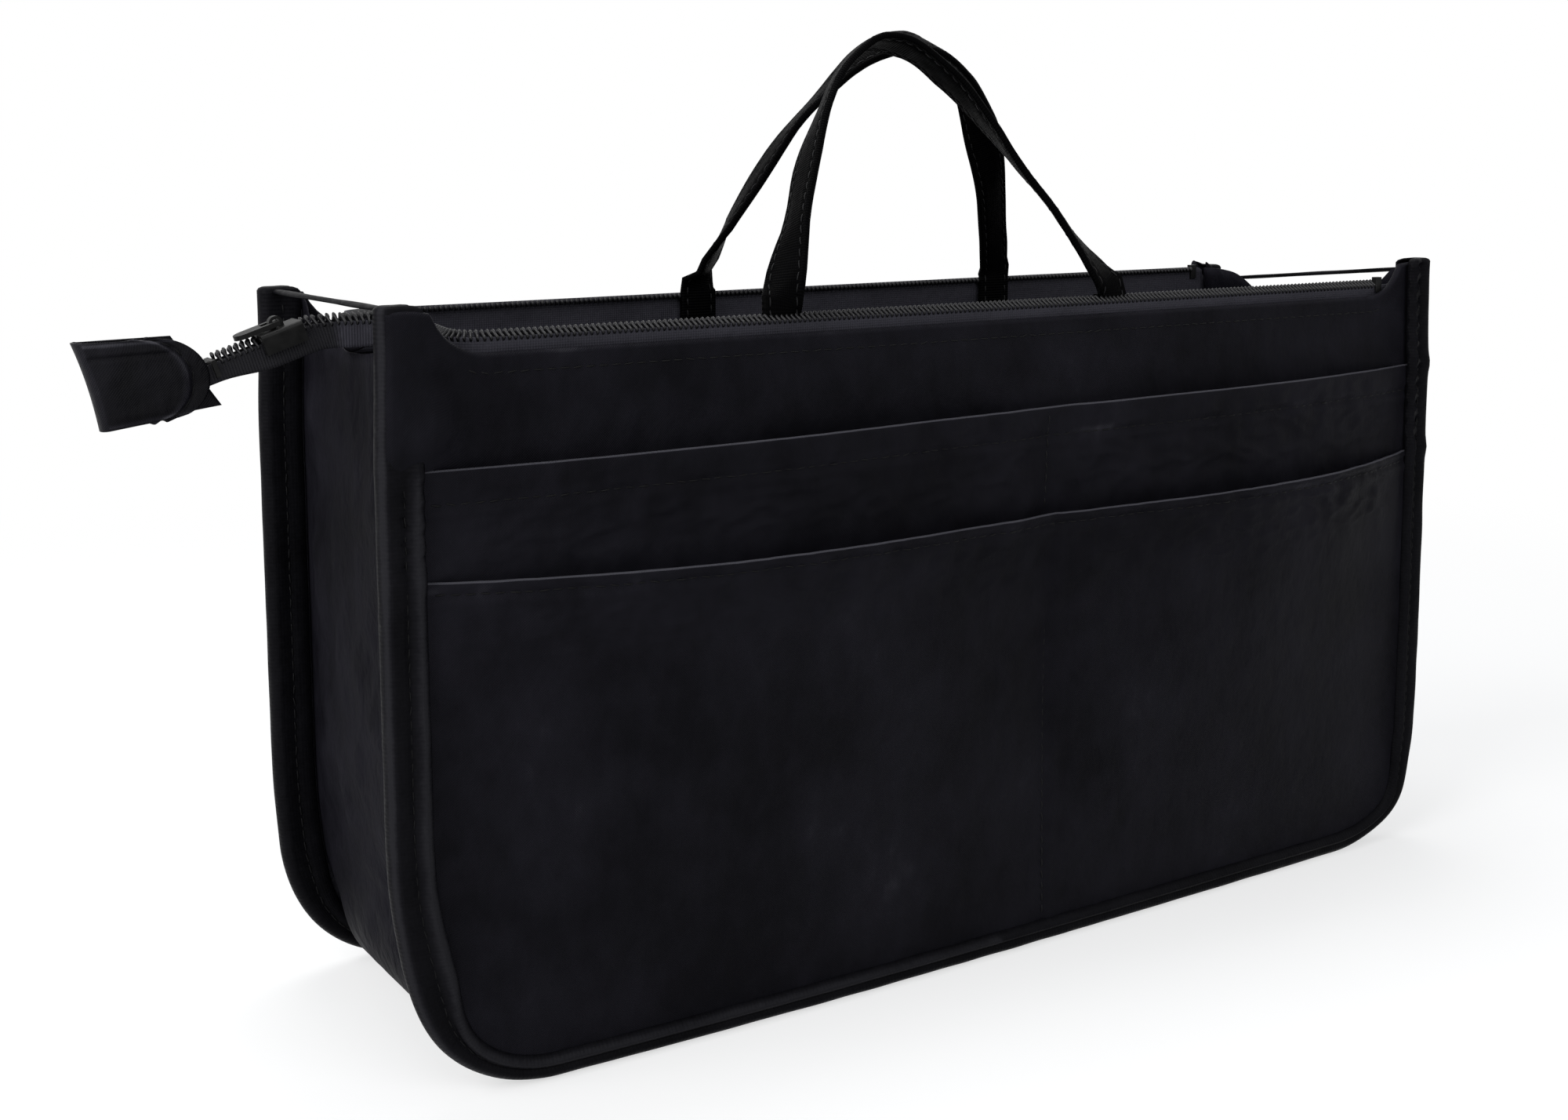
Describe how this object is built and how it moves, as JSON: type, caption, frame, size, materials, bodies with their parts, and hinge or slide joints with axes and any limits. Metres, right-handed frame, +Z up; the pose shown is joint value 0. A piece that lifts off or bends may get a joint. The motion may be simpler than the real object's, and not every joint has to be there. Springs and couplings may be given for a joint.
{
  "type": "purse organizer insert",
  "caption": "Soft upright insert for a handbag, with outer and inner slip pockets, bound seams, strap handles and an open zipper whose closed tail hangs out at one end.",
  "frame": {"origin": "middle of the base, on the surface that the insert stands on", "axes": "+X along the length, to the right seen from the front; -Y is the front; +Z up; the zipper tail is at -X"},
  "size_m": [0.3473, 0.0996, 0.2228],
  "materials": {
    "shell_nylon": "black plain-weave nylon with a soft sheen",
    "lining_nylon": "thin black lining nylon",
    "stiffener_foam": "grey closed-cell foam sheet",
    "binding_tape": "black ribbed binding tape, matte",
    "gusset_nylon": "black nylon, slightly lighter, crinkled",
    "strap_webbing": "black folded strap, edge-stitched",
    "zipper_tape": "black woven zipper tape",
    "zipper_coil": "black nylon coil, satin",
    "dark_metal": "black enamelled zinc"
  },
  "bodies": {
    "body": {"front_panel_shell": "shell_nylon", "back_panel_shell": "shell_nylon", "front_tall_pocket": "shell_nylon", "back_tall_pocket": "shell_nylon", "front_short_pocket": "shell_nylon", "back_short_pocket": "shell_nylon", "front_panel_lining": "lining_nylon", "back_panel_lining": "lining_nylon", "front_inner_pocket": "lining_nylon", "back_inner_pocket": "lining_nylon", "front_panel_stiffener": "stiffener_foam", "back_panel_stiffener": "stiffener_foam", "front_edge_binding": "binding_tape", "back_edge_binding": "binding_tape", "left_tie_tape": "binding_tape", "right_tie_tape": "binding_tape", "gusset": "gusset_nylon", "front_handle_foot_left": "strap_webbing", "back_handle_foot_left": "strap_webbing", "front_handle_foot_right": "strap_webbing", "back_handle_foot_right": "strap_webbing", "front_zipper_tape": "zipper_tape", "back_zipper_tape": "zipper_tape", "front_zipper_teeth": "zipper_coil", "back_zipper_teeth": "zipper_coil", "front_top_stop": "dark_metal", "back_top_stop": "dark_metal"},
    "front_handle": {"front_handle": "strap_webbing"},
    "back_handle": {"back_handle": "strap_webbing"},
    "tail": {"tail_front_tape": "zipper_tape", "tail_back_tape": "zipper_tape", "tail_chain": "zipper_coil", "zipper_bottom_stop": "dark_metal", "zipper_end_tab": "binding_tape"},
    "slider": {"zipper_slider": "dark_metal"},
    "puller": {"zipper_puller": "dark_metal"}
  },
  "joints": [
    {"name": "front_handle_swing", "type": "hinge", "parent": "body", "child": "front_handle", "pos_m": [0, -0.03365, 0.1595], "axis": [1, 0, 0], "range_deg": [0, 115]},
    {"name": "back_handle_swing", "type": "hinge", "parent": "body", "child": "back_handle", "pos_m": [0, 0.03365, 0.1595], "axis": [-1, 0, 0], "range_deg": [0, 115]},
    {"name": "tail_swing", "type": "hinge", "parent": "body", "child": "tail", "pos_m": [-0.146, 0, 0.15595], "axis": [0, 1, 0], "range_deg": [-35, 25]},
    {"name": "slider_travel", "type": "slide", "parent": "tail", "child": "slider", "axis": [-0.9483, 0, -0.3173], "range_m": [0, 0.0055]},
    {"name": "puller_swing", "type": "hinge", "parent": "slider", "child": "puller", "pos_m": [-0.15821, 0, 0.15777], "axis": [0, 1, 0], "range_deg": [0, 140]}
  ]
}
